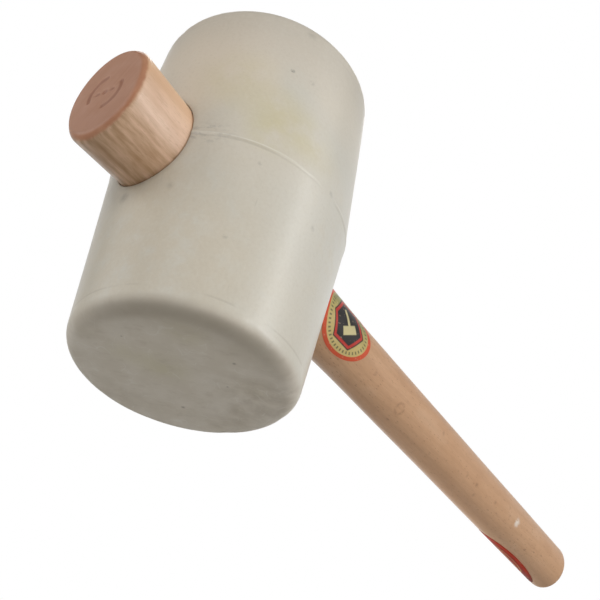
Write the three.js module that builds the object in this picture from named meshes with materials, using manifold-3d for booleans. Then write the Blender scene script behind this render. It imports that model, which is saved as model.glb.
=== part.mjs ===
// Rubber mallet: a white rubber head with a tapered eye, a turned beech handle that is driven into
// the eye thin end first, and two thin labels stuck on the handle.
//
// Millimetres. The origin is the centre of the lower striking face. +Z runs up the head's axis, and
// +X runs along the handle, from its thick end on one side of the head to the butt.

import * as THREE from "three";
import { mergeVertices } from "three/addons/utils/BufferGeometryUtils.js";
import Module from "manifold-3d";

const wasm = await Module();
wasm.setup();

// Head: two cones base to base, widest half way up, with rounded edges round the striking faces.
const HEAD_LENGTH = 138.5;
const HEAD_MID_RADIUS = 45;
const HEAD_FACE_RADIUS = 41; // at the face, before the edge is rounded
const HEAD_EDGE_RADIUS = 6.5;

// Handle: the radius is the one along the head's axis, and the section is narrower across it.
const THICK_END_X = -67.5;
const THICK_END_RADIUS = 20;
const THICK_END_CHAMFER = 2;
const NECK_RADIUS = 15.25; // where the handle leaves the head towards the butt
const NECK_X = HEAD_MID_RADIUS;
const SHAFT_RADIUS = 14;
const SHAFT_X = 95; // from here to the butt the handle is parallel
const BUTT_X = 323;
const BUTT_EDGE_RADIUS = 3;
const OVALITY = 0.84; // width across the head's axis, over width along it

// Eye: the handle's own taper with room all round it.
const EYE_GAP = 0.3;
const EYE_OVERRUN = 8; // how far the cutting solid stands out of the head at each end

// Labels: angles go round the handle, from 0 on the +Z side to a quarter turn on the +Y side.
const LABEL_GAP = 0.05;
const LABEL_THICKNESS = 0.15;
const OVAL_LABEL = {
  x: 70,
  halfLength: 18,
  angle: THREE.MathUtils.degToRad(-92),
  halfAngle: THREE.MathUtils.degToRad(60),
  lengthSteps: 16,
  angleSteps: 20,
};
const BUTT_LABEL = {
  x: 281,
  halfLength: 35,
  angle: THREE.MathUtils.degToRad(146),
  halfAngle: THREE.MathUtils.degToRad(40),
  lengthSteps: 12,
  angleSteps: 16,
};

const HEAD_SEGMENTS = 96;
const HANDLE_SEGMENTS = 72;
const ARC_DIVISIONS = 6;
const NECK_DIVISIONS = 8;
const HALVING_STEPS = 40; // enough halvings to find a place on the neck curve exactly
const WELD_DISTANCE = 1e-4; // points closer than this are one point

const HANDLE_Z = HEAD_LENGTH / 2;
const TAPER_START_X = THICK_END_X + THICK_END_CHAMFER;
const TAPER_SLOPE = (THICK_END_RADIUS - NECK_RADIUS) / (NECK_X - TAPER_START_X);

// The straight taper's radius at x, which holds from the thick end to the neck.
function taperRadius(x) {
  return THICK_END_RADIUS - TAPER_SLOPE * (x - TAPER_START_X);
}

// The curve from the neck's taper into the parallel shaft, tangent to both.
function neckCurve() {
  const meetX = NECK_X + (NECK_RADIUS - SHAFT_RADIUS) / TAPER_SLOPE;
  return new THREE.QuadraticBezierCurve(
    new THREE.Vector2(NECK_RADIUS, NECK_X),
    new THREE.Vector2(SHAFT_RADIUS, meetX),
    new THREE.Vector2(SHAFT_RADIUS, SHAFT_X),
  );
}

// The shaft's radius beyond the neck, found on the neck curve or on the parallel stretch.
function shaftRadius(x) {
  if (x >= SHAFT_X) return SHAFT_RADIUS;
  const curve = neckCurve();
  let low = 0;
  let high = 1;
  for (let step = 0; step < HALVING_STEPS; step += 1) {
    const middle = (low + high) / 2;
    if (curve.getPoint(middle).y < x) low = middle;
    else high = middle;
  }
  return curve.getPoint(low).x;
}

// One half of the head's outline: the face, its rounded edge, and the side out to the widest ring.
function headHalfOutline() {
  const slant = Math.atan((HEAD_MID_RADIUS - HEAD_FACE_RADIUS) / (HEAD_LENGTH / 2));
  const sideAtArcCentre = HEAD_FACE_RADIUS + HEAD_EDGE_RADIUS * Math.tan(slant);
  const centreRadius = sideAtArcCentre - HEAD_EDGE_RADIUS / Math.cos(slant);
  const path = new THREE.Path();
  path.moveTo(0, 0);
  path.lineTo(centreRadius, 0);
  path.absarc(centreRadius, HEAD_EDGE_RADIUS, HEAD_EDGE_RADIUS, -Math.PI / 2, -slant, false);
  path.lineTo(HEAD_MID_RADIUS, HEAD_LENGTH / 2);
  return path.getPoints(ARC_DIVISIONS);
}

// The head's whole outline, from the centre of the lower face to the centre of the upper one.
function headOutline() {
  const lower = headHalfOutline();
  const upper = lower.slice(0, -1).reverse().map((p) => new THREE.Vector2(p.x, HEAD_LENGTH - p.y));
  return [...lower, ...upper];
}

// The handle's outline as radius against distance along the handle, from thick end to butt.
function handleOutline() {
  const edge = new THREE.EllipseCurve(
    SHAFT_RADIUS - BUTT_EDGE_RADIUS,
    BUTT_X - BUTT_EDGE_RADIUS,
    BUTT_EDGE_RADIUS,
    BUTT_EDGE_RADIUS,
    0,
    Math.PI / 2,
  );
  return [
    new THREE.Vector2(0, THICK_END_X),
    new THREE.Vector2(THICK_END_RADIUS - THICK_END_CHAMFER, THICK_END_X),
    new THREE.Vector2(THICK_END_RADIUS, TAPER_START_X),
    ...neckCurve().getPoints(NECK_DIVISIONS),
    ...edge.getPoints(ARC_DIVISIONS),
    new THREE.Vector2(0, BUTT_X),
  ];
}

// The outline of the solid that cuts the eye.
function eyeOutline() {
  const start = -HEAD_MID_RADIUS - EYE_OVERRUN;
  const end = HEAD_MID_RADIUS + EYE_OVERRUN;
  return [
    new THREE.Vector2(0, start),
    new THREE.Vector2(taperRadius(start) + EYE_GAP, start),
    new THREE.Vector2(taperRadius(end) + EYE_GAP, end),
    new THREE.Vector2(0, end),
  ];
}

// A turned solid about +Z.
function turnedAboutZ(outline, segments) {
  return new THREE.LatheGeometry(outline, segments).rotateX(Math.PI / 2);
}

// A turned solid about +X, flattened across Y into the handle's oval section.
function turnedOval(outline, segments) {
  return new THREE.LatheGeometry(outline, segments)
    .rotateX(Math.PI / 2)
    .rotateY(Math.PI / 2)
    .scale(1, OVALITY, 1);
}

// A closed three.js geometry as a solid that can be cut.
function toSolid(geometry) {
  const bare = geometry.clone();
  bare.deleteAttribute("normal");
  bare.deleteAttribute("uv");
  const merged = mergeVertices(bare, WELD_DISTANCE);
  const vertProperties = new Float32Array(merged.attributes.position.array);
  const triVerts = new Uint32Array(merged.index.array);
  return new wasm.Manifold(new wasm.Mesh({ numProp: 3, vertProperties, triVerts }));
}

// A cut solid as a three.js geometry again.
function toGeometry(solid) {
  const mesh = solid.getMesh();
  const geometry = new THREE.BufferGeometry();
  geometry.setAttribute("position", new THREE.BufferAttribute(mesh.vertProperties, 3));
  geometry.setIndex(new THREE.BufferAttribute(mesh.triVerts, 1));
  geometry.computeVertexNormals();
  return geometry;
}

// The head with the handle's eye cut through it.
function headGeometry() {
  const body = toSolid(turnedAboutZ(headOutline(), HEAD_SEGMENTS));
  const eye = turnedOval(eyeOutline(), HANDLE_SEGMENTS).translate(0, 0, HANDLE_Z);
  return toGeometry(body.subtract(toSolid(eye)));
}

// A point at a height above the handle's oval surface, at x along it and at an angle round it.
function onShaft(x, angle, height) {
  const radius = shaftRadius(x);
  const normal = new THREE.Vector2(Math.sin(angle) / OVALITY, Math.cos(angle)).normalize();
  const y = OVALITY * radius * Math.sin(angle) + normal.x * height;
  const z = radius * Math.cos(angle) + normal.y * height;
  return new THREE.Vector3(x, y, z);
}

// A thin oval sheet wrapped on the shaft: a flat square plate is drawn in to a disc, and its points
// are then moved onto the surface.
function labelGeometry(label) {
  const plate = new THREE.BoxGeometry(2, 2, 1, label.lengthSteps, label.angleSteps, 1);
  const points = plate.attributes.position;
  for (let i = 0; i < points.count; i += 1) {
    const u = points.getX(i);
    const v = points.getY(i);
    const along = u * Math.sqrt(1 - (v * v) / 2);
    const round = v * Math.sqrt(1 - (u * u) / 2);
    const height = LABEL_GAP + (points.getZ(i) + 0.5) * LABEL_THICKNESS;
    const x = label.x + along * label.halfLength;
    const angle = label.angle + round * label.halfAngle;
    const place = onShaft(x, angle, height);
    points.setXYZ(i, place.x, place.y, place.z);
  }
  plate.computeVertexNormals();
  return plate;
}

function namedMesh(name, geometry, color, roughness) {
  const material = new THREE.MeshStandardMaterial({ color, roughness, metalness: 0 });
  const mesh = new THREE.Mesh(geometry, material);
  mesh.name = name;
  return mesh;
}

const group = new THREE.Group();
group.add(namedMesh("rubber_head", headGeometry(), 0xc6c0b2, 0.55));

const handleGroup = new THREE.Group();
handleGroup.position.z = HANDLE_Z;
handleGroup.add(namedMesh("handle", turnedOval(handleOutline(), HANDLE_SEGMENTS), 0xbe9a7c, 0.45));
handleGroup.add(namedMesh("oval_label", labelGeometry(OVAL_LABEL), 0xa89a5c, 0.35));
handleGroup.add(namedMesh("butt_label", labelGeometry(BUTT_LABEL), 0x8c3a2c, 0.4));
group.add(handleGroup);

export default group;
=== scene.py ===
"""Looks of a white rubber mallet with a beech handle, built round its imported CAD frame.

Shapes are worked out in millimetres and turned into metres when a mesh is made. The head is one
moulding with a parting line and a tapered eye, the handle one turned stick, and two printed films
are stuck on the handle. Materials are procedural and read object coordinates in millimetres.
"""

import math

import bmesh
import bpy
import numpy as np
from mathutils import Matrix, Vector


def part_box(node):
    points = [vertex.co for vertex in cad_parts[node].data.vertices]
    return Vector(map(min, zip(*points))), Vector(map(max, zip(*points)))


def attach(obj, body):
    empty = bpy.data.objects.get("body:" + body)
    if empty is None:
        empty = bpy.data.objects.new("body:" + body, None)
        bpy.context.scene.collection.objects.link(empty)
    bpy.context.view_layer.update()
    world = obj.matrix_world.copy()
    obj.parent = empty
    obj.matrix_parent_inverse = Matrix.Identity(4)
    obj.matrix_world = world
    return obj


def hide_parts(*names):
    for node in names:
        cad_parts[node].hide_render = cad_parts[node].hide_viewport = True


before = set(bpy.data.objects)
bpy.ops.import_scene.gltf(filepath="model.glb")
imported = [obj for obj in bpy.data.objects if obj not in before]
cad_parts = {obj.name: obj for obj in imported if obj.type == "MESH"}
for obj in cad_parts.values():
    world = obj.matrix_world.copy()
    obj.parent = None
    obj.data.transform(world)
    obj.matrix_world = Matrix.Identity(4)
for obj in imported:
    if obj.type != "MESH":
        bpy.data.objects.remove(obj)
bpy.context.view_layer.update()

MM = 0.001


def box_mm(node):
    """Lowest and highest corner of a CAD node, in millimetres."""
    low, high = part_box(node)
    return np.array(low) / MM, np.array(high) / MM


# ---------------------------------------------------------------- sizes, in millimetres

head_low, head_high = box_mm("rubber_head")
handle_low, handle_high = box_mm("handle")

HEAD_LENGTH = head_high[2] - head_low[2]
MID_Z = (head_high[2] + head_low[2]) / 2
HEAD_MID_RADIUS = head_high[1]
HEAD_FACE_RADIUS = HEAD_MID_RADIUS - 4
HEAD_EDGE_RADIUS = 6.5
HEAD_SLANT = math.atan((HEAD_MID_RADIUS - HEAD_FACE_RADIUS) / (HEAD_LENGTH / 2))
PARTING_BLEND = 1.5  # how softly the two cones meet at the parting line
MOULD_RING_Z = 8.5  # from each face to the ring left by the mould's end plate

THICK_END_X = handle_low[0]
BUTT_X = handle_high[0]
THICK_END_RADIUS = (handle_high[2] - handle_low[2]) / 2
OVALITY = (handle_high[1] - handle_low[1]) / (handle_high[2] - handle_low[2])
THICK_END_CHAMFER = 2
NECK_X = HEAD_MID_RADIUS
NECK_RADIUS = 15.25
SHAFT_X = 95
SHAFT_RADIUS = 14
BUTT_EDGE_RADIUS = 3
TAPER_START_X = THICK_END_X + THICK_END_CHAMFER
TAPER_SLOPE = (THICK_END_RADIUS - NECK_RADIUS) / (NECK_X - TAPER_START_X)

EYE_GAP = 0.16  # the rubber grips closer than the clearance that its solid needs
EYE_LIP = 0.6  # radius of the rubber's edge round the eye

FILM_GAP = 0.04
FILM_THICKNESS = 0.12
FILM_STEPS = 72


def film_place(node, angle, half_angle):
    """A film's place along the handle, from its CAD label, and its angles round it in degrees."""
    low, high = box_mm(node)
    return {
        "x": (low[0] + high[0]) / 2,
        "half_length": (high[0] - low[0]) / 2,
        "angle": math.radians(angle),
        "half_angle": math.radians(half_angle),
    }


OVAL_FILM = film_place("oval_label", -92, 60)
BUTT_FILM = film_place("butt_label", 146, 40)

WELD_DISTANCE = 0.005  # mesh points closer than this are one point
SHARP_EDGE = math.radians(50)  # edges that turn by more than this are shaded sharp


# ---------------------------------------------------------------- small shape tools

GRADED_SAMPLES = 4001


def graded(low, high, coarse, fine, spots, reach):
    """Values from low to high, spaced by coarse, and by about fine within reach of each spot."""
    track = np.linspace(low, high, GRADED_SAMPLES)
    density = np.full_like(track, 1 / coarse)
    for spot in spots:
        density += np.exp(-(((track - spot) / reach) ** 2)) / fine
    total = np.concatenate([[0], np.cumsum((density[1:] + density[:-1]) / 2 * np.diff(track))])
    count = int(round(total[-1]))
    return np.interp(np.linspace(0, total[-1], count + 1), total, track)


def bell(value):
    """A smooth bump of height 1 at 0."""
    return np.exp(-(value**2))


def smooth_step(value, low, high):
    """0 at low, 1 at high, with a smooth run between them."""
    t = np.clip((value - low) / (high - low), 0, 1)
    return t * t * (3 - 2 * t)


def sheet_mesh(sheets):
    """One list of points and quads from sheets, each (rows x columns x 3 points, closed, skip)."""
    points = []
    quads = []
    start = 0
    for grid, closed, skip in sheets:
        rows, columns, _ = grid.shape
        index = start + np.arange(rows * columns).reshape(rows, columns)
        right = np.roll(index, -1, axis=1)
        cells = np.stack([index[:-1], right[:-1], right[1:], index[1:]], axis=-1)
        if not closed:
            cells = cells[:, :-1]
        if skip is not None:
            cells = cells[~skip]
        points.append(grid.reshape(-1, 3))
        quads.append(cells.reshape(-1, 4))
        start += rows * columns
    return np.concatenate(points), np.concatenate(quads)


def make_piece(name, sheets, material, body, node):
    """Welds sheets into one closed mesh that stands for a CAD node and rides on its body."""
    points, quads = sheet_mesh(sheets)
    mesh = bpy.data.meshes.new(name)
    mesh.from_pydata((points * MM).tolist(), [], quads.tolist())
    work = bmesh.new()
    work.from_mesh(mesh)
    bmesh.ops.remove_doubles(work, verts=work.verts, dist=WELD_DISTANCE * MM)
    bmesh.ops.recalc_face_normals(work, faces=work.faces)
    for face in work.faces:
        face.smooth = True
    for edge in work.edges:
        edge.smooth = edge.calc_face_angle(0) < SHARP_EDGE
    work.to_mesh(mesh)
    work.free()
    piece = bpy.data.objects.new(name, mesh)
    bpy.context.scene.collection.objects.link(piece)
    mesh.materials.append(material)
    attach(piece, body)
    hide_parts(node)
    return piece


# ---------------------------------------------------------------- the rubber head

HEAD_COLUMNS = 288
EYE_COLUMNS = 26  # columns of the head each side of the eye's middle that the eye's own mesh takes
EYE_HALF_HEIGHT = 28
EYE_ROWS = np.array([0.9, 0.78, 0.65, 0.52, 0.4, 0.3, 0.21, 0.14, 0.08, 0.035, 0])
LIP_STEPS = 6
BORE_ROWS = 24
RIM_PASSES = 5  # enough repeats for a point of the eye's edge to settle on the head's side
FACE_RINGS = 18
EDGE_RINGS = 12
SIDE_RING_GAP = 1.7
FINE_RING_GAP = 0.24  # beside the parting line and the mould's rings
FACE_SINK = 0.12  # sets the striking faces back by about the height of their waves
DENTS = 26


def side_radius(z):
    """The head's radius up its side: two cones that meet softly at the parting line."""
    return HEAD_MID_RADIUS - math.tan(HEAD_SLANT) * np.sqrt((z - MID_Z) ** 2 + PARTING_BLEND**2)


def head_waves(x, y, z):
    """Slow swells of the moulded surface, so that no stretch is dead straight."""
    swell = 0.07 * np.sin(x / 15 + 0.6) * np.sin(z / 27 + 1.1)
    swell += 0.05 * np.sin(y / 12 - z / 33 + 2.0)
    return swell + 0.025 * np.sin(x / 5.3 + y / 6.1) * np.sin(z / 7.9 - y / 9.0)


def head_dents(x, y, z):
    """Shallow dents from use, most of them on the edges of the striking faces."""
    random = np.random.default_rng(11)
    depth = np.zeros_like(x)
    for _ in range(DENTS):
        angle = random.uniform(0, 2 * math.pi)
        low_end = random.random() < 0.5
        inset = random.choice([0.6, 2.5, 5.0])
        reach = random.uniform(1.4, 3.4)
        centre_radius = HEAD_FACE_RADIUS - random.choice([0.8, 4.0, 16.0, 26.0])
        centre_z = inset if low_end else HEAD_LENGTH - inset
        away = (x - centre_radius * math.cos(angle)) ** 2
        away += (y - centre_radius * math.sin(angle)) ** 2 + (z - centre_z) ** 2
        depth += random.uniform(0.08, 0.22) * bell(np.sqrt(away) / reach)
    return depth


def parting_ridge(angle, z):
    """The flash left at the parting line: a fine ridge, with more of them beside the thick end."""
    off = z - MID_Z
    turned = np.degrees(np.arctan2(np.sin(angle), np.cos(angle)))
    kept = 1 - 0.85 * bell((abs(turned) - 89) / 9)
    kept = kept * (0.8 + 0.2 * np.sin(5 * angle + 1))
    main = kept * (0.26 * bell((off - 0.3) / 0.5) - 0.03 * bell((off + 0.85) / 0.4))
    beside = smooth_step(abs(turned), 132, 146)
    upper = 0.15 * bell((off - 3.8) / 0.45) - 0.05 * bell((off - 2.4) / 0.9)
    close_by = smooth_step(abs(turned), 142, 152)
    lower = 0.08 * bell((off + 3.2) / 0.4)
    return main + beside * upper + close_by * lower


def mould_rings(angle, z):
    """The fine grooves near each face where the mould's end plates met its barrel."""
    from_face = np.minimum(z, HEAD_LENGTH - z)
    kept = 0.5 + 0.5 * np.sin(3 * angle + z / 40)
    return -(0.01 + 0.03 * kept) * bell((from_face - MOULD_RING_Z) / 0.4)


def head_point(angle, radius, z, normal_radius, normal_z):
    """A point of the head's surface, moved along its outline's normal by the surface's relief."""
    x, y = radius * np.cos(angle), radius * np.sin(angle)
    relief = head_waves(x, y, z) - head_dents(x, y, z)
    relief = relief + normal_radius * (parting_ridge(angle, z) + mould_rings(angle, z))
    relief = relief - FACE_SINK * (1 - normal_radius)
    radius = radius + normal_radius * relief
    return np.stack([radius * np.cos(angle), radius * np.sin(angle), z + normal_z * relief], -1)


def head_outline():
    """Rows of r, z and normal from face to face, and the counts of low rows and side rows."""
    side_at_centre = HEAD_FACE_RADIUS + HEAD_EDGE_RADIUS * math.tan(HEAD_SLANT)
    centre = side_at_centre - HEAD_EDGE_RADIUS / math.cos(HEAD_SLANT)
    rows = [(r, 0, 0, -1) for r in np.linspace(0, centre, FACE_RINGS + 1)[:-1]]
    for turn in np.linspace(-math.pi / 2, -HEAD_SLANT, EDGE_RINGS + 1)[:-1]:
        out, up = math.cos(turn), math.sin(turn)
        rows.append((centre + HEAD_EDGE_RADIUS * out, HEAD_EDGE_RADIUS * (1 + up), out, up))
    first = HEAD_EDGE_RADIUS * (1 - math.sin(HEAD_SLANT))
    spots = [MOULD_RING_Z, MID_Z - 1, MID_Z + 2, HEAD_LENGTH - MOULD_RING_Z]
    side = graded(first, HEAD_LENGTH - first, SIDE_RING_GAP, FINE_RING_GAP, spots, SIDE_RING_GAP)
    low = np.array(rows)
    high = low[::-1] * [1, -1, 1, -1] + [0, HEAD_LENGTH, 0, 0]
    middle = np.stack([side_radius(side), side, np.ones_like(side), np.zeros_like(side)], -1)
    return np.concatenate([low, middle, high]), len(low), len(side)


def taper_radius(x):
    """The handle's radius along the head's axis on its straight taper."""
    return THICK_END_RADIUS - TAPER_SLOPE * (x - TAPER_START_X)


def eye_rim(side, turn, room):
    """Angle and z of the eye's edge on one side of the head, grown by room."""
    x = side * HEAD_MID_RADIUS * np.ones_like(turn)
    for _ in range(RIM_PASSES):
        radius = taper_radius(x) + EYE_GAP + room
        y, z = OVALITY * radius * np.sin(turn), MID_Z + radius * np.cos(turn)
        x = side * np.sqrt(side_radius(z) ** 2 - y**2)
    return np.arcsin(y / side_radius(z)), z


def side_point(side, swing, z):
    """A point of the head's side, by its swing from the +X or -X direction towards +Y."""
    angle = swing if side > 0 else math.pi - swing
    return head_point(angle, side_radius(z), z, np.ones_like(z), np.zeros_like(z))


def eye_side_rings(side, loop_swing, loop_z, turn):
    """Rings of points from the square round the eye in to its edge, and over the edge's lip."""
    rim_swing, rim_z = eye_rim(side, turn, EYE_LIP)
    rings = [side_point(side, loop_swing, loop_z)]
    for share in EYE_ROWS:
        swing = rim_swing + share * (loop_swing - rim_swing)
        rings.append(side_point(side, swing, rim_z + share * (loop_z - rim_z)))
    for step in np.linspace(0, math.pi / 2, LIP_STEPS + 1)[1:]:
        swing, z = eye_rim(side, turn, EYE_LIP * (1 - math.sin(step)))
        ring = side_point(side, swing, z)
        ring[:, 0] -= side * EYE_LIP * (1 - math.cos(step))
        rings.append(ring)
    return rings


def eye_sheet(side_z):
    """The eye's mesh: one strip from the square on the +X side, through the bore, to the other."""
    swing_step = 2 * math.pi / HEAD_COLUMNS
    across = np.arange(-EYE_COLUMNS, EYE_COLUMNS) * swing_step
    wide = EYE_COLUMNS * swing_step
    upright = np.full(len(side_z) - 1, wide)
    level = np.ones_like(across)
    loop_swing = np.concatenate([across, upright, -across, -upright])
    loop_z = np.concatenate([level * side_z[0], side_z[:-1], level * side_z[-1], side_z[:0:-1]])
    turn = np.arctan2(loop_swing / wide, (loop_z - MID_Z) / EYE_HALF_HEIGHT)
    plus = eye_side_rings(1, loop_swing, loop_z, turn)
    minus = eye_side_rings(-1, loop_swing, loop_z, turn)
    shares = np.linspace(0, 1, BORE_ROWS + 1)[1:-1]
    bore = [plus[-1] + share * (minus[-1] - plus[-1]) for share in shares]
    return np.stack(plus + bore + minus[::-1])


def build_head(material):
    """The head: a turned sheet with a square left out round each end of the eye, and the eye."""
    outline, below, side_rows = head_outline()
    angle = np.arange(HEAD_COLUMNS) * 2 * math.pi / HEAD_COLUMNS
    columns = [np.repeat(outline[:, i : i + 1], HEAD_COLUMNS, axis=1) for i in range(4)]
    body = head_point(np.tile(angle, (len(outline), 1)), *columns)

    heights = outline[:, 1]
    from_middle = heights[below : below + side_rows] - MID_Z
    first = below + int(np.argmin(abs(from_middle + EYE_HALF_HEIGHT)))
    last = below + int(np.argmin(abs(from_middle - EYE_HALF_HEIGHT)))
    column = np.arange(HEAD_COLUMNS)
    near_plus = (column < EYE_COLUMNS) | (column >= HEAD_COLUMNS - EYE_COLUMNS)
    opposite = HEAD_COLUMNS // 2
    near_minus = (column >= opposite - EYE_COLUMNS) & (column < opposite + EYE_COLUMNS)
    skip = np.zeros((len(outline) - 1, HEAD_COLUMNS), bool)
    skip[first:last] = near_plus | near_minus

    eye = eye_sheet(heights[first : last + 1])
    sheets = [(body, True, skip), (eye, True, None)]
    return make_piece("moulded_head", sheets, material, "head", "rubber_head")


# ---------------------------------------------------------------- the beech handle

HANDLE_COLUMNS = 160
CHAMFER_ROUNDING = 1.1
MARK_RING_RADIUS = 7.2
END_RING_GAP = 0.42  # close enough to carry the mark pressed into the thick end
STICK_RING_GAP = 1.6
BUTT_RINGS = 8


def handle_profile(x):
    """The handle's radius at x, from the thick end's taper through the neck to the shaft."""
    meet_x = NECK_X + (NECK_RADIUS - SHAFT_RADIUS) / TAPER_SLOPE
    t = np.linspace(0, 1, 200)
    curve_x = (1 - t) ** 2 * NECK_X + 2 * t * (1 - t) * meet_x + t**2 * SHAFT_X
    curve_r = (1 - t) ** 2 * NECK_RADIUS + (1 - (1 - t) ** 2) * SHAFT_RADIUS
    return np.where(x < NECK_X, taper_radius(x), np.interp(x, curve_x, curve_r))


def corner(before, at, after, radius, steps=5):
    """Points of an outline's corner, rounded with an arc of about this radius."""
    before, at, after = np.array(before), np.array(at), np.array(after)
    start = at + (before - at) / np.linalg.norm(before - at) * radius
    end = at + (after - at) / np.linalg.norm(after - at) * radius
    t = np.linspace(0, 1, steps)[:, None]
    return (1 - t) ** 2 * start + 2 * t * (1 - t) * at + t**2 * end


def handle_outline():
    """Rows of x and radius from the middle of the thick end to the middle of the butt."""
    middle = (THICK_END_X, 0)
    rim = (THICK_END_X, THICK_END_RADIUS - THICK_END_CHAMFER)
    shoulder = (TAPER_START_X, THICK_END_RADIUS)
    onward = (0, taper_radius(0))
    face = [(THICK_END_X, r) for r in np.arange(0, rim[1] - CHAMFER_ROUNDING, END_RING_GAP)]
    outer_corner = corner(middle, rim, shoulder, CHAMFER_ROUNDING)
    inner_corner = corner(rim, shoulder, onward, CHAMFER_ROUNDING)
    length = np.arange(TAPER_START_X + 1.5, BUTT_X - BUTT_EDGE_RADIUS, STICK_RING_GAP)
    stick = np.stack([length, handle_profile(length)], -1)
    turn = np.linspace(0, math.pi / 2, BUTT_RINGS + 1)
    butt_x = BUTT_X - BUTT_EDGE_RADIUS * (1 - np.sin(turn))
    butt_radius = SHAFT_RADIUS - BUTT_EDGE_RADIUS * (1 - np.cos(turn))
    butt = np.stack([butt_x, butt_radius], -1)
    end = [(BUTT_X, r) for r in np.linspace(butt[-1][1], 0, BUTT_RINGS + 1)[1:]]
    return np.concatenate([face, outer_corner, inner_corner, stick, butt, end])


def drive_mark(y, z):
    """Depth of the mark of a lathe's drive centre: a broken ring, a point and two spurs."""
    radius, angle = np.hypot(y, z), np.arctan2(z, y)
    kept = smooth_step(np.sin(2 * angle + 0.5), -0.45, -0.1)
    ring = 0.6 * bell((radius - MARK_RING_RADIUS) / 0.75) * kept
    point = 0.6 * bell(radius / 1.0)
    spur = 0.45 * bell(z / 0.6) * bell((abs(y) - 3.4) / 1.2)
    return ring + point + spur


def handle_point(x, radius, turn):
    """A point of the handle's oval surface, with the drive mark sunk in the thick end."""
    hand_made = 1 + 0.003 * np.sin(x / 31 + 2 * turn) + 0.002 * np.sin(x / 13 - turn)
    y = OVALITY * radius * hand_made * np.sin(turn)
    z = radius * hand_made * np.cos(turn)
    on_end = smooth_step(x, THICK_END_X + 0.02, THICK_END_X)
    return np.stack([x + on_end * drive_mark(y, z), y, MID_Z + z], -1)


def build_handle(material):
    """The handle as one turned sheet of oval rings."""
    outline = handle_outline()
    turn = -np.arange(HANDLE_COLUMNS) * 2 * math.pi / HANDLE_COLUMNS
    x = np.repeat(outline[:, :1], HANDLE_COLUMNS, axis=1)
    radius = np.repeat(outline[:, 1:], HANDLE_COLUMNS, axis=1)
    stick = handle_point(x, radius, np.tile(turn, (len(outline), 1)))
    sheets = [(stick, True, None)]
    return make_piece("beech_stick", sheets, material, "handle", "handle")


# ---------------------------------------------------------------- the printed films


def film_point(film, along, around, height):
    """A point above the shaft, by its place on the film from -1 to 1 each way."""
    x = film["x"] + along * film["half_length"]
    turn = film["angle"] + around * film["half_angle"]
    radius = handle_profile(x)
    normal_y, normal_z = np.sin(turn) / OVALITY, np.cos(turn)
    scale = height / np.hypot(normal_y, normal_z)
    y = OVALITY * radius * np.sin(turn) + normal_y * scale
    z = radius * np.cos(turn) + normal_z * scale
    return np.stack([x, y, MID_Z + z], -1)


def build_film(name, film, material, node):
    """A thin oval film wrapped on the shaft, with a top, an underside and an edge all round."""
    steps = np.linspace(-1, 1, FILM_STEPS)
    u, v = np.meshgrid(steps, steps, indexing="ij")
    along = u * np.sqrt(1 - v**2 / 2)
    around = v * np.sqrt(1 - u**2 / 2)
    top = film_point(film, along, around, FILM_GAP + FILM_THICKNESS)
    under = film_point(film, along, around, FILM_GAP)
    sheets = [(top, False, None), (under, False, None)]
    for edge in (np.s_[0], np.s_[-1], np.s_[:, 0], np.s_[:, -1]):
        sheets.append((np.stack([top[edge], under[edge]]), False, None))
    return make_piece(name, sheets, material, "handle", node)


# ---------------------------------------------------------------- shader tools


def srgb(red, green, blue):
    """A colour given by its screen values, as the linear colour that shaders use."""
    shares = [c / 255 for c in (red, green, blue)]
    linear = [c / 12.92 if c <= 0.04045 else ((c + 0.055) / 1.055) ** 2.4 for c in shares]
    return (*linear, 1)


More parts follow.
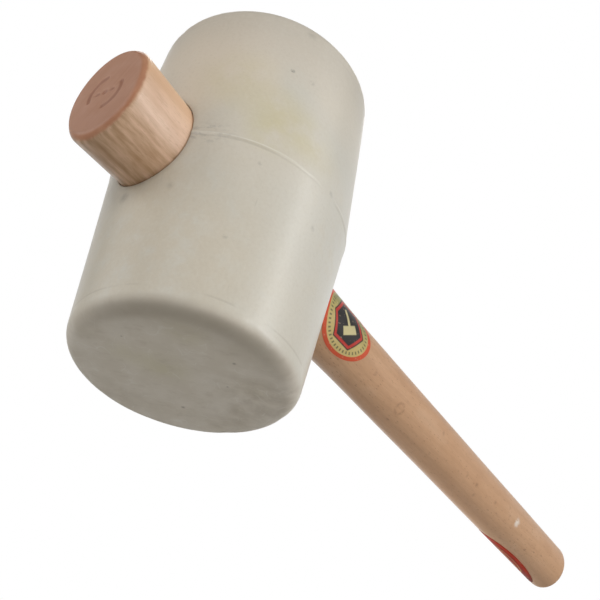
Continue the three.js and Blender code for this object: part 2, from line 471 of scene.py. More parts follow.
class Shader:
    """A procedural material, with short ways to add nodes and join them."""

    def __init__(self, name):
        self.material = bpy.data.materials.new(name)
        self.material.use_nodes = True
        self.nodes = self.material.node_tree.nodes
        self.links = self.material.node_tree.links
        self.surface = self.nodes["Principled BSDF"]
        place = self.nodes.new("ShaderNodeTexCoord").outputs["Object"]
        self.place = self.vector("SCALE", place, scale=1 / MM)
        self.x, self.y, self.z = self.split(self.place)

    def feed(self, socket, value):
        """Joins a node's output to a socket, or writes a plain value there."""
        if isinstance(value, bpy.types.NodeSocket):
            self.links.new(value, socket)
        else:
            socket.default_value = value

    def set(self, name, value):
        """Gives the surface's input of this name a node's output or a plain value."""
        self.feed(self.surface.inputs[name], value)

    def math(self, operation, *values):
        """The result of a math node."""
        node = self.nodes.new("ShaderNodeMath")
        node.operation = operation
        for socket, value in zip(node.inputs, values):
            self.feed(socket, value)
        return node.outputs[0]

    def vector(self, operation, first, second=None, scale=None):
        """The result of a vector math node, which is a number for a length or a distance."""
        node = self.nodes.new("ShaderNodeVectorMath")
        node.operation = operation
        self.feed(node.inputs[0], first)
        if second is not None:
            self.feed(node.inputs[1], second)
        if scale is not None:
            self.feed(node.inputs["Scale"], scale)
        return node.outputs["Value" if operation in ("LENGTH", "DISTANCE") else "Vector"]

    def split(self, vector):
        """The three numbers of a vector or a colour."""
        node = self.nodes.new("ShaderNodeSeparateXYZ")
        self.feed(node.inputs[0], vector)
        return node.outputs

    def join(self, x, y, z):
        """A vector from three numbers."""
        node = self.nodes.new("ShaderNodeCombineXYZ")
        for socket, value in zip(node.inputs, (x, y, z)):
            self.feed(socket, value)
        return node.outputs[0]

    def apart(self, first, second):
        """How far two values are from each other."""
        return self.math("ABSOLUTE", self.math("SUBTRACT", first, second))

    def total(self, start, *terms):
        """A start value plus the terms, each a value and its weight."""
        result = start
        for value, weight in terms:
            result = self.math("MULTIPLY_ADD", value, weight, result)
        return result

    def noise(self, scale, stretch=(1, 1, 1), detail=3.0, rough=0.5, place=None):
        """Cloudy noise from 0 to 1 with features about 1 / scale millimetres across."""
        node = self.nodes.new("ShaderNodeTexNoise")
        where = self.vector("MULTIPLY", self.place if place is None else place, stretch)
        self.feed(node.inputs["Vector"], where)
        for name, value in (("Scale", scale), ("Detail", detail), ("Roughness", rough)):
            node.inputs[name].default_value = value
        return node.outputs[0]

    def cells(self, scale, stretch=(1, 1, 1), place=None):
        """Scattered cells: the distance to the nearest one's middle and that cell's own colour."""
        node = self.nodes.new("ShaderNodeTexVoronoi")
        where = self.vector("MULTIPLY", self.place if place is None else place, stretch)
        self.feed(node.inputs["Vector"], where)
        node.inputs["Scale"].default_value = scale
        return node.outputs["Distance"], self.split(node.outputs["Color"])[0]

    def ramp(self, value, low, high):
        """0 where value is at low and 1 where it is at high, smooth between, either way round."""
        node = self.nodes.new("ShaderNodeMapRange")
        node.interpolation_type = "SMOOTHSTEP"
        flip = low > high
        self.feed(node.inputs["Value"], value)
        node.inputs["From Min"].default_value = min(low, high)
        node.inputs["From Max"].default_value = max(low, high)
        node.inputs["To Min"].default_value = 1 if flip else 0
        node.inputs["To Max"].default_value = 0 if flip else 1
        return node.outputs[0]

    def both(self, *masks):
        """The product of masks and numbers."""
        result = masks[0]
        for mask in masks[1:]:
            result = self.math("MULTIPLY", result, mask)
        return result

    def blend(self, amount, below, above):
        """Colour above laid over colour below by amount."""
        node = self.nodes.new("ShaderNodeMix")
        node.data_type = "RGBA"
        self.feed(node.inputs["Factor"], amount)
        self.feed(node.inputs[6], below)
        self.feed(node.inputs[7], above)
        return node.outputs[2]

    def near(self, x, y, z, reach):
        """1 at a point of the object, in millimetres, falling to 0 at reach from it."""
        return self.ramp(self.vector("DISTANCE", self.place, (x, y, z)), reach, 0)

    def spots(self, colour, tint, texture, places):
        """A tint laid over a colour at places, each a point, its reach and how strong it is."""
        for point, reach, amount in places:
            colour = self.blend(self.both(self.near(*point, reach), texture, amount), colour, tint)
        return colour

    def bump(self, height, strength, distance):
        """Fine relief in millimetres for the surface's normal."""
        node = self.nodes.new("ShaderNodeBump")
        self.feed(node.inputs["Height"], height)
        node.inputs["Strength"].default_value = strength
        node.inputs["Distance"].default_value = distance * MM
        self.set("Normal", node.outputs[0])


# ---------------------------------------------------------------- materials


def on_side(degrees, z):
    """A point of the head's side, by its angle from +X towards +Y."""
    radius = float(side_radius(z))
    return radius * math.cos(math.radians(degrees)), radius * math.sin(math.radians(degrees)), z


def handle_radius(s):
    """Distance from the handle's axis, counted so that its oval section is a circle."""
    return s.vector("LENGTH", s.join(0, s.math("DIVIDE", s.y, OVALITY), s.math("SUBTRACT", s.z, MID_Z)))


def stain_and_shade_side(s, colour):
    """Ageing and stains of the head's side, and painted shade towards its upper end, laid over its
    colour.
    """
    clouds = s.noise(0.03, detail=4)
    fine = s.noise(0.16, detail=5, rough=0.6)
    soft = s.noise(0.085, detail=4, rough=0.55)
    aged = [(on_side(-152, 112), 74, 0.32)]
    colour = s.spots(colour, srgb(234, 211, 187), s.ramp(clouds, 0.2, 0.6), aged)
    # painted shade: the side turns greyer and darker towards the upper end
    top = s.both(s.ramp(s.z, HEAD_LENGTH - 34, HEAD_LENGTH - 6), 0.45)
    colour = s.blend(top, colour, srgb(196, 188, 175))
    pale = [(on_side(-190, 108), 48, 0.6)]
    colour = s.spots(colour, srgb(242, 226, 204), s.ramp(clouds, 0.1, 0.5), pale)
    cool = [(on_side(-72, 48), 66, 0.5)]
    colour = s.spots(colour, srgb(220, 219, 212), s.ramp(fine, 0.2, 0.6), cool)
    warm = [(on_side(-165, 26), 74, 0.7)]
    colour = s.spots(colour, srgb(210, 197, 174), s.ramp(fine, 0.1, 0.6), warm)
    yellowed = [
        (on_side(-121, 84), 20, 0.45),
        (on_side(-127, 76), 12, 0.25),
        (on_side(-103, 82), 16, 0.25),
        (on_side(-146, 96), 24, 0.3),
        (on_side(48, 40), 24, 0.4),
        (on_side(118, 101), 20, 0.35),
    ]
    colour = s.spots(colour, srgb(206, 195, 140), s.ramp(soft, 0.2, 0.62), yellowed)
    mottle = s.noise(0.9, detail=3, rough=0.6)
    colour = s.blend(s.both(s.ramp(mottle, 0.5, 0.3), 0.12), colour, srgb(190, 180, 160))
    return s.blend(s.both(s.ramp(mottle, 0.5, 0.7), 0.12), colour, srgb(230, 226, 214))


def speckle_side(s, colour):
    """Specks, small scuffs and fine upright scratches of the head's side."""
    dust = s.noise(0.7, detail=3)
    specks = [
        (on_side(-122.9, 109.4), 1.2, 0.9),
        (on_side(-131.2, 30.7), 1.4, 0.25),
        (on_side(-126, 62.3), 1.2, 0.25),
        (on_side(-161, 46.8), 2.2, 0.2),
        (on_side(174.5, 45.5), 3.4, 0.3),
        (on_side(-92.5, 51.7), 1.5, 0.25),
        (on_side(-112, 109), 1.6, 0.25),
        (on_side(-118, 132), 3.0, 0.18),
        (on_side(-87, 70.5), 1.8, 0.25),
        (on_side(31, 88), 1.6, 0.4),
        (on_side(96, 31), 1.5, 0.4),
        (on_side(139, 118), 1.5, 0.4),
    ]
    colour = s.spots(colour, srgb(104, 96, 84), s.ramp(dust, 0.25, 0.5), specks)
    lines = s.noise(1.1, stretch=(1, 1, 0.045), detail=2)
    where = s.ramp(s.noise(0.045, detail=2), 0.52, 0.66)
    scratches = s.both(s.ramp(lines, 0.69, 0.78), where, 0.16)
    colour = s.blend(scratches, colour, srgb(140, 132, 118))
    rubbed = s.both(s.ramp(lines, 0.33, 0.22), where, 0.2)
    return s.blend(rubbed, colour, srgb(232, 228, 218))


def grime_and_painted_light_lines(s, colour, from_face):
    """Grey dirt held by the parting line, the mould's rings and the eye's edge, with painted shade
    under the parting ridge and round the eye, and a painted highlight along the ridge's crest.
    """
    off = s.math("SUBTRACT", s.z, MID_Z)
    broken = s.noise(0.1, detail=4, rough=0.6)
    turned = s.math("ABSOLUTE", s.math("ARCTAN2", s.y, s.x))
    worn = s.ramp(s.apart(turned, math.radians(89)), 0.06, 0.2)
    # grey dirt and painted shade in a line just under the parting ridge
    under = s.both(s.ramp(s.apart(off, -0.6), 0.6, 0.1), worn, s.ramp(broken, 0.3, 0.5), 0.15)
    colour = s.blend(under, colour, srgb(134, 126, 112))
    # painted highlight: a pale line along the top of the parting ridge, where it is not worn away
    painted_highlight_crest = s.both(s.ramp(s.apart(off, 0.6), 0.55, 0.1), worn, 0.5)
    colour = s.blend(painted_highlight_crest, colour, srgb(236, 232, 220))
    beside = s.ramp(turned, math.radians(132), math.radians(152))
    band = s.ramp(s.apart(off, 0.4), 5.6, 2.0)
    smear = s.ramp(s.noise(0.32, stretch=(1, 1, 2.2), detail=4, rough=0.65), 0.46, 0.7)
    colour = s.blend(s.both(beside, band, smear, 0.45), colour, srgb(152, 148, 141))
    ring = s.ramp(s.apart(from_face, MOULD_RING_Z - 0.2), 0.6, 0.1)
    held = s.ramp(s.noise(0.09, detail=4), 0.42, 0.6)
    amount = s.total(0.05, (s.ramp(s.z, MID_Z + 40, MID_Z - 40), 0.12))
    colour = s.blend(s.both(ring, held, amount), colour, srgb(138, 122, 100))
    # grey dirt and painted shade on the rubber round the eye, where it meets the handle
    eye = s.ramp(handle_radius(s), THICK_END_RADIUS + 2.2, THICK_END_RADIUS - 1.5)
    return s.blend(s.both(eye, s.ramp(broken, 0.2, 0.6), 0.35), colour, srgb(150, 136, 118))


def soil_and_shade_faces(s, colour, from_face):
    """The striking faces: grey-brown dirt, smears across them, rubbed patches and a dark rim of dirt
    and painted shade on their (-X, -Y) side.
    """
    across = s.total(0, (s.x, 0.55), (s.y, -0.83))
    along = s.total(0, (s.x, 0.83), (s.y, 0.55))
    flow = s.join(s.both(across, 0.55), along, s.both(s.z, 0.4))
    smears = s.noise(0.22, detail=5, rough=0.6, place=flow)
    clouds = s.noise(0.075, detail=4, rough=0.55)
    blots = s.noise(0.16, detail=5, rough=0.6)
    dirt = s.blend(s.ramp(clouds, 0.35, 0.65), srgb(217, 208, 193), srgb(226, 218, 205))
    dirt = s.blend(s.both(s.ramp(smears, 0.48, 0.28), 0.3), dirt, srgb(184, 172, 155))
    dirt = s.blend(s.both(s.ramp(smears, 0.56, 0.72), 0.4), dirt, srgb(232, 226, 214))
    olive = [
        ((-8, 1, 0), 15, 0.5),
        ((-22, -20, 0), 12, 0.4),
        ((-19, 9, 0), 10, 0.3),
        ((14, -22, 0), 9, 0.2),
    ]
    dirt = s.spots(dirt, srgb(200, 192, 156), s.ramp(clouds, 0.3, 0.6), olive)
    smudges = [
        ((20, -22, 0), 25, 0.5),
        ((29, -2, 0), 16, 0.36),
        ((-30, 14, 0), 16, 0.12),
        ((4, 30, 0), 16, 0.26),
    ]
    dirt = s.spots(dirt, srgb(172, 159, 142), s.ramp(blots, 0.7, 0.3), smudges)
    specks = [
        ((-2.3, -25.3, 0), 1.0, 0.6),
        ((16, 11.8, 0), 1.1, 0.6),
        ((9, -14, 0), 0.6, 0.6),
        ((-27, 3, 0), 0.6, 0.6),
    ]
    dirt = s.spots(dirt, srgb(124, 114, 102), 1, specks)
    for bends, shown in ((0.07, 0.3), (0.12, 0.22)):
        contour = s.apart(s.noise(bends, detail=1), 0.5)
        scratch = s.both(s.ramp(contour, 0.012, 0.003), s.ramp(smears, 0.45, 0.6), shown)
        dirt = s.blend(scratch, dirt, srgb(240, 236, 228))
    # dirt and painted shade: the faces darker towards their rim on the side facing (-X, -Y), and
    # darkest on the rounded edge
    grime_and_shade_side = s.ramp(s.total(0, (s.x, 0.68), (s.y, 0.73)), -4, -38)
    radius = s.vector("LENGTH", s.join(s.x, s.y, 0))
    dirt = s.blend(s.both(s.ramp(radius, 22, 36), grime_and_shade_side, 0.45), dirt, srgb(176, 166, 150))
    rim = s.both(s.ramp(from_face, 4.4, 1.6), s.ramp(radius, 33.5, 39), grime_and_shade_side, 0.6)
    dirt = s.blend(rim, dirt, srgb(148, 139, 124))
    cover = s.ramp(s.total(from_face, (clouds, 3)), 7.7, 3.9)
    return s.blend(cover, colour, dirt), cover


def rubber_material():
    """Off-white moulded rubber: aged patches, dirt at its lines and soiled striking faces, with painted
    shade and a painted highlight among them.
    """
    s = Shader("white_rubber")
    from_face = s.math("MINIMUM", s.z, s.math("SUBTRACT", HEAD_LENGTH, s.z))
    clouds = s.noise(0.028, detail=3)
    colour = s.blend(s.ramp(clouds, 0.35, 0.65), srgb(213, 209, 197), srgb(217, 211, 197))
    colour = stain_and_shade_side(s, colour)
    colour = speckle_side(s, colour)
    colour = grime_and_painted_light_lines(s, colour, from_face)
    colour, soiled = soil_and_shade_faces(s, colour, from_face)
    s.set("Base Color", colour)
    polish = s.noise(0.12, detail=4)
    s.set("Roughness", s.total(0.26, (polish, 0.16), (soiled, 0.24)))
    grain = s.total(s.noise(2.2, detail=4), (s.noise(0.35, detail=3), 1.6))
    s.bump(grain, 0.5, 0.05)
    return s.material


PITH = (0, -46, 30)  # the tree's middle, from the handle's axis
GROWTH_RING = 4.4


def grain_space(s):
    """Where a point sits in the blank that the handle was turned from, whose grain runs askew."""
    y = s.total(s.y, (s.x, 0.014), (s.noise(0.012, detail=1), 9))
    z = s.total(s.math("SUBTRACT", s.z, MID_Z), (s.x, -0.021))
    return s.join(s.x, y, z)


def pale_end(s):
    """1 on the thick end outside the head, whose wood is paler."""
    return s.ramp(s.x, -34, -44)


def beech_colours(s, place):
    """Beech along its grain: growth rings, fibres, short vessel flecks and broader ray flecks."""
    pale = pale_end(s)
    base = s.blend(pale, srgb(207, 163, 125), srgb(228, 192, 163))
    from_pith = s.vector("DISTANCE", s.vector("MULTIPLY", place, (0, 1, 1)), PITH)
    wandering = s.total(from_pith, (s.noise(0.05, stretch=(0.25, 1, 1), detail=2), 7))
    rings = s.math("SINE", s.both(wandering, 2 * math.pi / GROWTH_RING))
    colour = s.blend(s.both(s.ramp(rings, 0.1, 1.0), 0.22), base, srgb(184, 140, 104))
    fibres = s.noise(2.8, stretch=(0.07, 1, 1), detail=4, rough=0.65, place=place)
    colour = s.blend(s.both(s.ramp(fibres, 0.5, 0.3), 0.32), colour, srgb(168, 126, 93))
    colour = s.blend(s.both(s.ramp(fibres, 0.54, 0.74), 0.24), colour, srgb(236, 204, 170))
    mottle = s.noise(0.09, stretch=(0.45, 1, 1), detail=4, place=place)
    colour = s.blend(s.both(s.ramp(mottle, 0.5, 0.3), 0.3), colour, srgb(186, 140, 102))
    colour = s.blend(s.both(s.ramp(mottle, 0.55, 0.75), 0.25), colour, srgb(226, 192, 160))
    wavy = s.vector("ADD", place, s.vector("SCALE", s.join(fibres, mottle, mottle), scale=1.6))
    distance, chance = s.cells(0.95, stretch=(0.34, 1.3, 1.3), place=wavy)
    fleck = s.both(s.ramp(distance, 0.34, 0.1), s.ramp(chance, 0.4, 0.85))
    colour = s.blend(s.both(fleck, s.total(0.6, (pale, -0.4))), colour, srgb(150, 104, 72))
    distance, chance = s.cells(0.17, stretch=(0.6, 1.5, 1.5), place=wavy)
    spot = s.both(s.ramp(distance, 0.17, 0.04), s.ramp(chance, 0.55, 0.7))
    colour = s.blend(s.both(spot, 0.45), colour, srgb(132, 88, 60))
    return colour, fibres, fleck


def on_shaft(x, degrees):
    """A point of the handle's surface, by its place along X and its angle from +Z towards +Y."""
    radius = float(handle_profile(np.array(float(x))))
    turn = math.radians(degrees)
    return x, OVALITY * radius * math.sin(turn), MID_Z + radius * math.cos(turn)


def tint_handle(s, colour):
    """Local colour: a dull streak with painted shade on the pale end's lower side, an orange flank on
    the pale end, and marks on the shaft.
    """
    up = s.math("SUBTRACT", s.z, MID_Z)
    pale = pale_end(s)
    streaks = s.noise(0.5, stretch=(0.15, 1, 1), detail=4)
    # olive-brown streaks of the wood together with painted shade, darkening the pale end's lower side
    streaks_and_painted_shade_below = s.both(pale, s.ramp(up, -2, -15), s.ramp(streaks, 0.85, 0.15))
    colour = s.blend(s.both(streaks_and_painted_shade_below, 0.95), colour, srgb(158, 119, 76))
    colour = s.blend(s.both(pale, s.ramp(up, -1, 9), 0.55), colour, srgb(232, 186, 142))
    hand_worn = s.both(s.ramp(s.x, 60, 130), s.ramp(s.noise(0.02, detail=3), 0.35, 0.65), 0.35)
    colour = s.blend(hand_worn, colour, srgb(200, 154, 114))
    flecked = s.noise(0.8, detail=2)
    knocks = [
        (on_shaft(203, -121), 1.9, 0.6),
        (on_shaft(192, -122), 1.6, 0.4),
        (on_shaft(206, -142), 1.6, 0.4),
        (on_shaft(225, -116), 1.9, 0.4),
        (on_shaft(160, -96), 2.0, 0.4),
        (on_shaft(98, -118), 1.6, 0.4),
        (on_shaft(184, 62), 3.0, 0.8),
    ]
    colour = s.spots(colour, srgb(138, 94, 66), s.ramp(flecked, 0.25, 0.5), knocks)
    broken = s.ramp(flecked, 0.3, 0.55)
    # small pale spots on the shaft
    pale_spots = [
        (on_shaft(253, -109), 3.7, 0.8),
        (on_shaft(252, -113), 3.0, 0.8),
        (on_shaft(262, 20), 2.4, 0.8),
    ]
    colour = s.spots(colour, srgb(238, 226, 214), broken, pale_spots)
    dent = s.ramp(s.apart(s.near(*on_shaft(123.5, -131), 5.2), 0.5), 0.28, 0.08)
    return s.blend(s.both(dent, broken, 0.35), colour, srgb(146, 100, 70))


def seal_and_shade_ends(s, colour):
    """The sealed ends and the thick end's chamfer: pinkish brown, with faint close saw lines."""
    radius = handle_radius(s)
    flat = s.ramp(s.x, THICK_END_X + 1.4, THICK_END_X + 0.9)
    inner = s.both(flat, s.ramp(radius, THICK_END_RADIUS - 1.5, THICK_END_RADIUS - 2.6))
    slant = s.total(0, (s.y, 0.8), (s.z, 0.6))
    saw = s.noise(1.0, detail=2, place=s.join(0, s.both(slant, 2.3), s.both(s.y, 0.06)))
    clouds = s.noise(0.11, detail=4)
    end = s.blend(s.ramp(clouds, 0.35, 0.65), srgb(188, 140, 114), srgb(194, 148, 124))
    # painted shade: the thick end's face darker towards its lower side
    end = s.blend(s.both(s.ramp(s.z, MID_Z + 2, MID_Z - 16), 0.4), end, srgb(172, 124, 98))
    end = s.blend(s.both(s.ramp(saw, 0.5, 0.68), 0.35), end, srgb(168, 116, 88))
    # grime and painted shade in the sunk drive mark
    marked = s.ramp(s.apart(radius, MARK_RING_RADIUS - 0.3), 9, 7)
    recess_grime_and_shade = s.both(s.ramp(s.x, THICK_END_X + 0.06, THICK_END_X + 0.3), marked)
    end = s.blend(s.both(recess_grime_and_shade, 0.45), end, srgb(140, 84, 60))
    edge = s.total(s.x, (s.noise(0.4, detail=3), 0.9))
    rim = s.blend(s.ramp(clouds, 0.3, 0.7), srgb(176, 118, 84), srgb(192, 138, 104))
    colour = s.blend(s.ramp(edge, THICK_END_X + 2.5, THICK_END_X + 1.5), colour, rim)
    colour = s.blend(inner, colour, end)
    butt = s.ramp(s.x, BUTT_X - 1.6, BUTT_X - 0.3)
    return s.blend(s.both(butt, 0.6), colour, srgb(176, 130, 98)), inner


def beech_material():
    """Lacquered beech, paler at the thick end, with sealed pink-brown ends."""
    s = Shader("lacquered_beech")
    place = grain_space(s)
    colour, fibres, fleck = beech_colours(s, place)
    colour = tint_handle(s, colour)
    colour, end = seal_and_shade_ends(s, colour)
    s.set("Base Color", colour)
    s.set("Roughness", s.total(0.38, (s.noise(0.3, detail=3), 0.16), (end, 0.12)))
    s.set("Coat Weight", s.total(0.3, (end, -0.22)))
    s.set("Coat Roughness", 0.26)
    s.bump(s.total(fibres, (fleck, -0.6)), 0.35, 0.05)
    return s.material


def film_axes(s, film):
    """Place on a film, from -1 to 1 along the handle and round it."""
    u = s.both(s.math("SUBTRACT", s.x, film["x"]), 1 / film["half_length"])
    turn = s.math("ARCTAN2", s.math("DIVIDE", s.y, OVALITY), s.math("SUBTRACT", s.z, MID_Z))
    off = s.math("WRAP", s.math("SUBTRACT", turn, film["angle"]), math.pi, -math.pi)
    return u, s.both(off, 1 / film["half_angle"])


def slab(s, a, b, half_a, half_b, soft):
    """1 inside a rectangle about the middle, with soft sides."""
    inside_a = s.ramp(s.math("ABSOLUTE", a), half_a + soft, half_a - soft)
    return s.both(inside_a, s.ramp(s.math("ABSOLUTE", b), half_b + soft, half_b - soft))


def six_sided(s, a, b):
    """Distance from the middle, counted so that a hexagon's sides lie at 1."""
    reach = s.math("ABSOLUTE", b)
    for sign in (1, -1):
        slanted = s.total(0, (a, sign * math.sqrt(0.75)), (b, 0.5))
        reach = s.math("MAXIMUM", reach, s.math("ABSOLUTE", slanted))
    return reach


def oval_print_material():
    """A plain badge: an orange-red border, a gold field, and a mallet on a black hexagon."""
    s = Shader("oval_print")
    u, v = film_axes(s, OVAL_FILM)
    out = s.vector("LENGTH", s.join(u, v, 0))
    age = s.noise(0.25, detail=4)
    field = s.blend(s.ramp(v, -0.5, 0.6), srgb(206, 184, 118), srgb(150, 146, 82))
    field = s.blend(s.both(s.ramp(age, 0.4, 0.65), 0.35), field, srgb(222, 202, 140))
    beat = s.math("SINE", s.both(s.math("ARCTAN2", v, u), 44))
    ticks = s.both(s.ramp(beat, -0.1, 0.5), s.ramp(s.apart(out, 0.77), 0.055, 0.03))
    colour = s.blend(s.both(ticks, 0.75), field, srgb(70, 76, 44))
    a, b = s.both(u, 1 / 0.56), s.both(v, 1 / 0.6)
    hexagon = six_sided(s, a, b)
    colour = s.blend(s.ramp(hexagon, 1.06, 1.0), colour, srgb(40, 30, 26))
    colour = s.blend(s.ramp(hexagon, 0.99, 0.95), colour, srgb(196, 52, 40))
    colour = s.blend(s.ramp(hexagon, 0.86, 0.81), colour, srgb(34, 30, 28))
    lean_a = s.total(0, (a, 0.8), (b, 0.6))
    lean_b = s.total(0, (b, 0.8), (a, -0.6))
    head = slab(s, lean_a, s.math("ADD", lean_b, 0.26), 0.46, 0.2, 0.03)
    stick = slab(s, lean_a, s.math("SUBTRACT", lean_b, 0.28), 0.085, 0.38, 0.03)
    colour = s.blend(s.math("MAXIMUM", head, stick), colour, srgb(212, 200, 148))
    colour = s.blend(s.ramp(out, 0.86, 0.88), colour, srgb(214, 80, 40))
    scuffs = s.both(s.ramp(s.noise(1.3, stretch=(0.5, 1, 1), detail=4), 0.62, 0.7), 0.35)
    s.set("Base Color", s.blend(scuffs, colour, srgb(214, 190, 160)))
    s.set("Roughness", s.total(0.3, (age, 0.2)))
    s.set("Coat Weight", 0.25)
    s.bump(s.noise(1.1, detail=3), 0.15, 0.04)
    return s.material


def butt_print_material():
    """A plain red film: a bright border, a thin gold line, two gold bars and a darker worn end."""
    s = Shader("butt_print")
    u, v = film_axes(s, BUTT_FILM)
    out = s.vector("LENGTH", s.join(u, v, 0))
    age = s.noise(0.2, detail=4)
    colour = s.blend(s.ramp(age, 0.35, 0.65), srgb(146, 34, 20), srgb(162, 42, 24))
    rows = s.apart(s.math("ABSOLUTE", v), 0.16)
    bar = s.both(s.ramp(rows, 0.065, 0.045), s.ramp(s.math("ABSOLUTE", u), 0.4, 0.38))
    colour = s.blend(s.both(bar, 0.85), colour, srgb(212, 186, 126))
    line = s.ramp(s.apart(out, 0.56), 0.03, 0.012)
    colour = s.blend(s.both(line, 0.85), colour, srgb(206, 178, 112))
    colour = s.blend(s.ramp(out, 0.76, 0.78), colour, srgb(184, 52, 26))
    colour = s.blend(s.both(s.ramp(u, 0.35, 0.9), 0.85), colour, srgb(112, 48, 34))
    scuffs = s.both(s.ramp(s.noise(0.9, stretch=(0.3, 1, 1), detail=5), 0.6, 0.7), 0.4)
    s.set("Base Color", s.blend(scuffs, colour, srgb(186, 140, 108)))
    s.set("Roughness", s.total(0.36, (age, 0.2)))
    s.set("Specular IOR Level", 0.12)
    s.bump(s.noise(1.1, detail=3), 0.15, 0.04)
    return s.material


# ---------------------------------------------------------------- stage, light and camera

CAMERA_AZIMUTH = math.radians(-42.17)
CAMERA_ELEVATION = math.radians(-38.0)
CAMERA_DISTANCE = 0.3801
VIEW_HEADING = math.radians(50.69)
VIEW_ELEVATION = math.radians(27.25)
VIEW_ROLL = math.radians(12.78)
LENS = 59.65
LENS_SHIFT_Y = 0.2316
SHIFT_REACH = 0.05  # metres from the viewpoint at which the shift has faded to none
NEAR_CLIP = 0.01

LIGHT_DISTANCE = 2.0
LIGHT_TARGET = Vector((0.1, 0, MID_Z * MM))
SOFTBOXES = (  # name, azimuth and elevation in degrees, width and height in metres, power in watts
    ("right_softbox", 20, 10, 0.9, 0.9, 10.5),
    ("right_strip", 14, 22, 0.16, 1.0, 4),
    ("front_softbox", 0, 10, 0.9, 0.9, 8.3),
    ("high_right_softbox", 20, 42, 0.9, 0.9, 2),
    ("left_softbox", -80, 12, 0.9, 0.9, 8),
    ("high_left_softbox", -50, 36, 1.2, 0.9, 3),
    ("far_left_softbox", -125, 16, 1.5, 0.9, 8.5),
    ("rear_softbox", 140, 62, 1.2, 0.9, 9),
)
LOW_STRIP_PLACE = Vector((0.24, 0.27, -0.058))
LOW_STRIP_SPREAD = math.radians(40)
WORLD_STRENGTH = 0.12
BACKDROP_IN_REFLECTIONS = 0.9
BACKDROP_EDGE = 0.2  # cosines of the angle from the view's heading, where the backdrop starts
BACKDROP_FULL = 0.9  # and where it is at full strength
FLOOR_CLEAR_RADIUS = 0.45  # metres of floor about the mallet that shadows fall on
FLOOR_FADE_RADIUS = 1.5  # and from here outwards the floor is as white as the backdrop
FLOOR_GLOW = 0.25
FLOOR_HALF_SIZE = 4.0
FLOOR_UNDER_CAMERA = 0.02
FLOOR_TOP = -0.0002  # just under the lower striking face


def polar(azimuth, elevation):
    """The direction from the object to a viewer at this azimuth and elevation."""
    level = math.cos(elevation)
    return Vector((math.sin(azimuth) * level, -math.cos(azimuth) * level, math.sin(elevation)))


def build_camera():
    """The viewpoint below and in front of the thick end, with the lens shifted up the picture."""
    data = bpy.data.cameras.new("viewpoint_camera")
    data.lens = LENS
    data.clip_start = NEAR_CLIP
    camera = bpy.data.objects.new("viewpoint_camera", data)
    away = polar(CAMERA_AZIMUTH, CAMERA_ELEVATION) * CAMERA_DISTANCE
    camera.location = Vector((0, 0, MID_Z * MM)) + away
    forward = polar(math.pi - VIEW_HEADING, VIEW_ELEVATION)
    turn = forward.to_track_quat("-Z", "Y").to_matrix() @ Matrix.Rotation(VIEW_ROLL, 3, "Z")
    camera.rotation_mode = "QUATERNION"
    camera.rotation_quaternion = turn.to_quaternion()
    bpy.context.scene.collection.objects.link(camera)
    bpy.context.scene.camera = camera
    return camera


def shift_lens_here_only(camera):
    """The lens is shifted at this viewpoint only, so that views from elsewhere stay centred."""
    mark = bpy.data.objects.new("viewpoint_mark", None)
    mark.location = camera.location
    bpy.context.scene.collection.objects.link(mark)
    curve = camera.data.driver_add("shift_y")
    curve.driver.type = "SUM"
    distance = curve.driver.variables.new()
    distance.type = "LOC_DIFF"
    distance.targets[0].id = camera
    distance.targets[1].id = mark
    for modifier in list(curve.modifiers):
        curve.modifiers.remove(modifier)
    while curve.keyframe_points:
        curve.keyframe_points.remove(curve.keyframe_points[0])
    for away, shift in ((0, LENS_SHIFT_Y), (SHIFT_REACH, 0)):
        key = curve.keyframe_points.insert(away, shift)
        key.interpolation = "LINEAR"


def floor_material():
    """Pale grey round the mallet, and further out as white as the backdrop to a camera."""
    s = Shader("pale_floor")
    path = s.nodes.new("ShaderNodeLightPath").outputs
    seen = s.math("MAXIMUM", path["Is Camera Ray"], path["Is Glossy Ray"])
    reach = s.vector("LENGTH", s.join(s.x, s.y, 0))
    far = s.ramp(reach, FLOOR_CLEAR_RADIUS / MM, FLOOR_FADE_RADIUS / MM)
    near_colour = s.blend(seen, srgb(205, 204, 201), srgb(232, 231, 228))
    s.set("Base Color", s.blend(s.both(far, path["Is Camera Ray"]), near_colour, srgb(0, 0, 0)))
    s.set("Emission Color", srgb(255, 255, 255))
    glow = s.total(FLOOR_GLOW, (far, 1 - FLOOR_GLOW))
    s.set("Emission Strength", s.both(glow, path["Is Camera Ray"]))
    s.set("Roughness", 1)
    s.set("Specular IOR Level", 0)
    return s.material


def build_floor():
    """A plain pale floor under the mallet that keeps below the camera where the camera is lower."""
    half = FLOOR_HALF_SIZE
    corners = [(-half, -half, 0), (half, -half, 0), (half, half, 0), (-half, half, 0)]
    mesh = bpy.data.meshes.new("floor")
    mesh.from_pydata(corners, [], [(0, 1, 2, 3)])
    mesh.materials.append(floor_material())
    floor = bpy.data.objects.new("floor", mesh)
    floor.location.z = -FLOOR_UNDER_CAMERA
    bpy.context.scene.collection.objects.link(floor)
    follow = floor.constraints.new("COPY_LOCATION")
    follow.target = bpy.context.scene.camera
    follow.use_x = False
    follow.use_y = False
    follow.use_offset = True
    limit = floor.constraints.new("LIMIT_LOCATION")
    limit.use_max_z = True
    limit.max_z = FLOOR_TOP


def add_light(name, azimuth, elevation, width, height, power):
    """A soft rectangular light aimed at the mallet, from a direction given in degrees."""
    data = bpy.data.lights.new(name, "AREA")
    data.shape = "RECTANGLE"
    data.size = width
    data.size_y = height
    data.energy = power
    light = bpy.data.objects.new(name, data)
    back = polar(math.radians(azimuth), math.radians(elevation))
    light.location = LIGHT_TARGET + back * LIGHT_DISTANCE
    light.visible_camera = False
    light.rotation_mode = "QUATERNION"
    light.rotation_quaternion = back.to_track_quat("Z", "Y")
    bpy.context.scene.collection.objects.link(light)
    return light


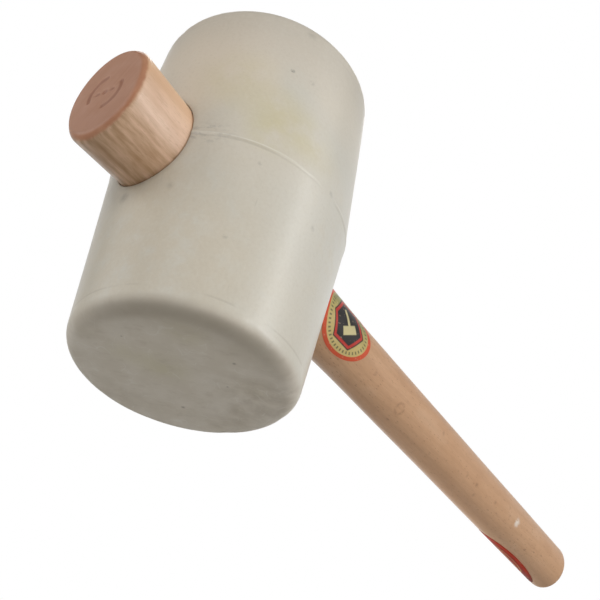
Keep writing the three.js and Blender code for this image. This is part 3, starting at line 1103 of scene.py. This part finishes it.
def add_low_strip():
    """A small narrow-beamed light below and behind the shaft, for its underside alone."""
    strip = add_light("low_rear_strip", azimuth=180, elevation=-25, width=0.2, height=0.1, power=0.04)
    strip.location = LOW_STRIP_PLACE
    strip.data.spread = LOW_STRIP_SPREAD


def build_world():
    """White where the camera sees it, soft grey as a light, and a pale backdrop in reflections."""
    world = bpy.data.worlds.new("studio")
    bpy.context.scene.world = world
    world.use_nodes = True
    world.cycles.sampling_method = "NONE"
    nodes = world.node_tree.nodes
    links = world.node_tree.links
    path = nodes.new("ShaderNodeLightPath").outputs
    facing = nodes.new("ShaderNodeVectorMath")
    facing.operation = "DOT_PRODUCT"
    links.new(nodes.new("ShaderNodeTexCoord").outputs["Generated"], facing.inputs[0])
    facing.inputs[1].default_value = (math.sin(VIEW_HEADING), math.cos(VIEW_HEADING), 0)
    backdrop = nodes.new("ShaderNodeMapRange")
    backdrop.interpolation_type = "SMOOTHSTEP"
    backdrop.inputs["From Min"].default_value = BACKDROP_EDGE
    backdrop.inputs["From Max"].default_value = BACKDROP_FULL
    backdrop.inputs["To Max"].default_value = BACKDROP_IN_REFLECTIONS
    links.new(facing.outputs["Value"], backdrop.inputs["Value"])
    reflected = nodes.new("ShaderNodeMath")
    reflected.operation = "MULTIPLY_ADD"
    total = nodes.new("ShaderNodeMath")
    total.operation = "MULTIPLY_ADD"
    links.new(path["Is Glossy Ray"], reflected.inputs[0])
    links.new(backdrop.outputs[0], reflected.inputs[1])
    reflected.inputs[2].default_value = WORLD_STRENGTH
    links.new(path["Is Camera Ray"], total.inputs[0])
    total.inputs[1].default_value = 1 - WORLD_STRENGTH
    links.new(reflected.outputs[0], total.inputs[2])
    links.new(total.outputs[0], nodes["Background"].inputs["Strength"])
    nodes["Background"].inputs["Color"].default_value = (1, 1, 1, 1)


def build_stage():
    """The camera, the floor, the white surroundings and all the lights."""
    camera = build_camera()
    shift_lens_here_only(camera)
    build_floor()
    build_world()
    for softbox in SOFTBOXES:
        add_light(*softbox)
    add_low_strip()
    bpy.context.scene.view_settings.view_transform = "Standard"


# ---------------------------------------------------------------- everything together

build_head(rubber_material())
build_handle(beech_material())
build_film("oval_film", OVAL_FILM, oval_print_material(), "oval_label")
build_film("butt_film", BUTT_FILM, butt_print_material(), "butt_label")
build_stage()
